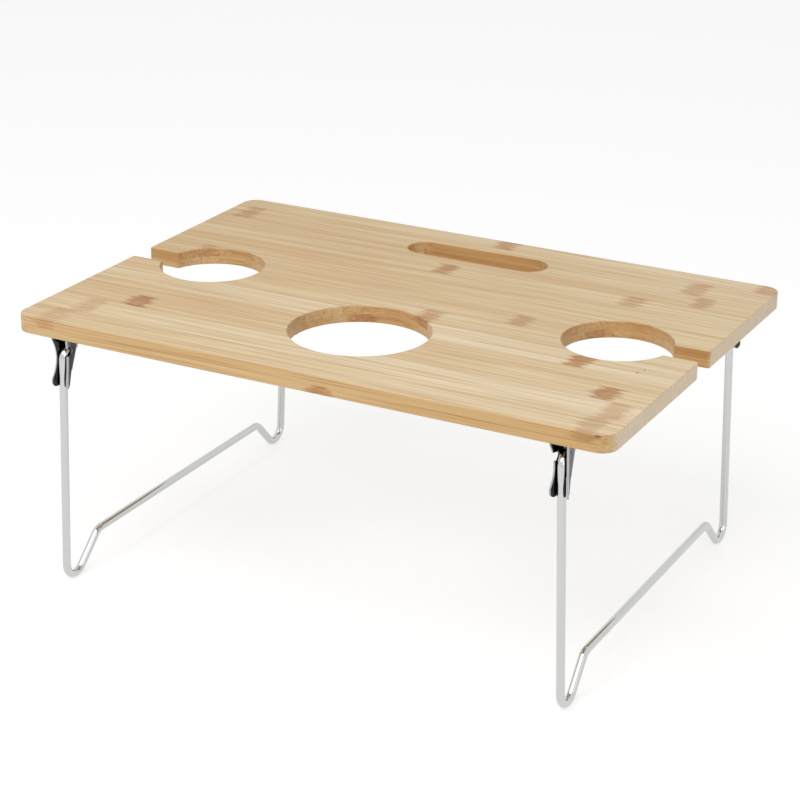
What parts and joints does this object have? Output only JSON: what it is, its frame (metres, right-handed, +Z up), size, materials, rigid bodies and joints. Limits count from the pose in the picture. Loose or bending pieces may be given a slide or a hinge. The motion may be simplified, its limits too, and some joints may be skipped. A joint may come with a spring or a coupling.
{
  "type": "folding wine table",
  "caption": "Folding picnic table for wine: a bamboo board with a bottle hole, open keyhole slots for stemmed glasses and a hand-hold, on bent wire legs that fold flat under it.",
  "frame": {"origin": "on the ground under the middle of the board, legs open", "axes": "+X along the board, -Y towards the front edge, which is the one nearer the bottle hole, +Z up"},
  "size_m": [0.38, 0.268, 0.1719],
  "materials": {
    "bamboo": "laminated bamboo, satin lacquer",
    "chrome_wire": "bright chrome plate",
    "spring_steel": "bright pressed spring steel",
    "screw_steel": "zinc plated"
  },
  "bodies": {
    "tabletop": {"board": "bamboo", "clip_front_left": "spring_steel", "clip_front_right": "spring_steel", "clip_back_left": "spring_steel", "clip_back_right": "spring_steel", "screw_front_left_outer": "screw_steel", "screw_front_left_inner": "screw_steel", "screw_front_right_outer": "screw_steel", "screw_front_right_inner": "screw_steel", "screw_back_left_outer": "screw_steel", "screw_back_left_inner": "screw_steel", "screw_back_right_outer": "screw_steel", "screw_back_right_inner": "screw_steel"},
    "left_leg": {"leg_left": "chrome_wire"},
    "right_leg": {"leg_right": "chrome_wire"}
  },
  "joints": [
    {"name": "left_leg_fold", "type": "hinge", "parent": "tabletop", "child": "left_leg", "pos_m": [-0.16, 0, 0.15241], "axis": [0, -1, 0], "range_deg": [0, 92]},
    {"name": "right_leg_fold", "type": "hinge", "parent": "tabletop", "child": "right_leg", "pos_m": [0.16, 0, 0.15241], "axis": [0, 1, 0], "range_deg": [0, 92]}
  ]
}
